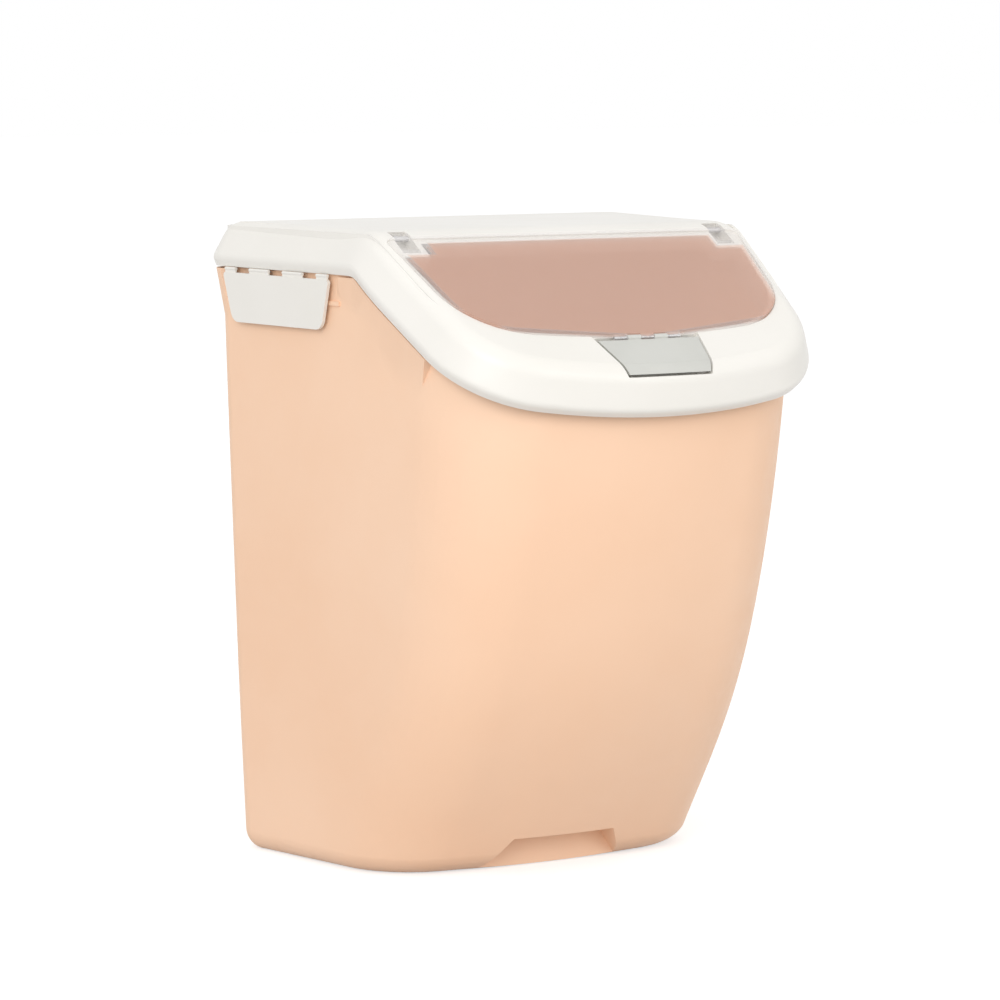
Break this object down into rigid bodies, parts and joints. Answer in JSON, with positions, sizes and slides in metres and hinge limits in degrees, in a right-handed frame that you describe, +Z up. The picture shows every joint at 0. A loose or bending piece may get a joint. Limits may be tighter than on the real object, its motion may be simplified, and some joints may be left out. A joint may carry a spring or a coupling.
{
  "type": "rice storage box",
  "caption": "Tapered kitchen grain bin with a sloped lift-off lid, a clear flip-up pouring hatch with pull latch, and fold-down side clips",
  "frame": {"origin": "centre of the footprint of the overall box, on the floor under the base", "axes": "+X to the right seen from the front, front towards -Y, +Z up"},
  "size_m": [0.2728, 0.2677, 0.35],
  "materials": {
    "peach_plastic": "fine satin moulded",
    "white_plastic": "smooth moulded",
    "clear_plastic": "lightly frosted clear",
    "grey_plastic": "satin moulded",
    "pin_steel": "drawn wire",
    "silicone": "matt translucent silicone"
  },
  "bodies": {
    "bin": {"bin_body": "peach_plastic"},
    "lid": {"lid_frame": "white_plastic", "lid_gasket": "silicone", "hatch_pin_left": "pin_steel", "hatch_pin_right": "pin_steel"},
    "hatch": {"hatch_cover": "clear_plastic", "latch_pin": "pin_steel"},
    "latch": {"hatch_latch": "grey_plastic"},
    "clip_left": {"side_clip_left": "white_plastic"},
    "clip_right": {"side_clip_right": "white_plastic"}
  },
  "joints": [
    {"name": "lid_lift", "type": "slide", "parent": "bin", "child": "lid", "axis": [0, 0, 1], "range_m": [0, 0.15]},
    {"name": "hatch_hinge", "type": "hinge", "parent": "lid", "child": "hatch", "pos_m": [0, -0.02218, 0.34527], "axis": [-1, 0, 0], "range_deg": [0, 105]},
    {"name": "latch_pull", "type": "hinge", "parent": "hatch", "child": "latch", "pos_m": [0, -0.10919, 0.29544], "axis": [-1, 0, 0], "range_deg": [-2.5, 40]},
    {"name": "clip_left_fold", "type": "hinge", "parent": "lid", "child": "clip_left", "pos_m": [-0.12982, 0.06223, 0.325], "axis": [-0.1029, 0.9947, 0], "range_deg": [-2.5, 78]},
    {"name": "clip_right_fold", "type": "hinge", "parent": "lid", "child": "clip_right", "pos_m": [0.12982, 0.06223, 0.325], "axis": [-0.1029, -0.9947, 0], "range_deg": [-2.5, 78]}
  ]
}
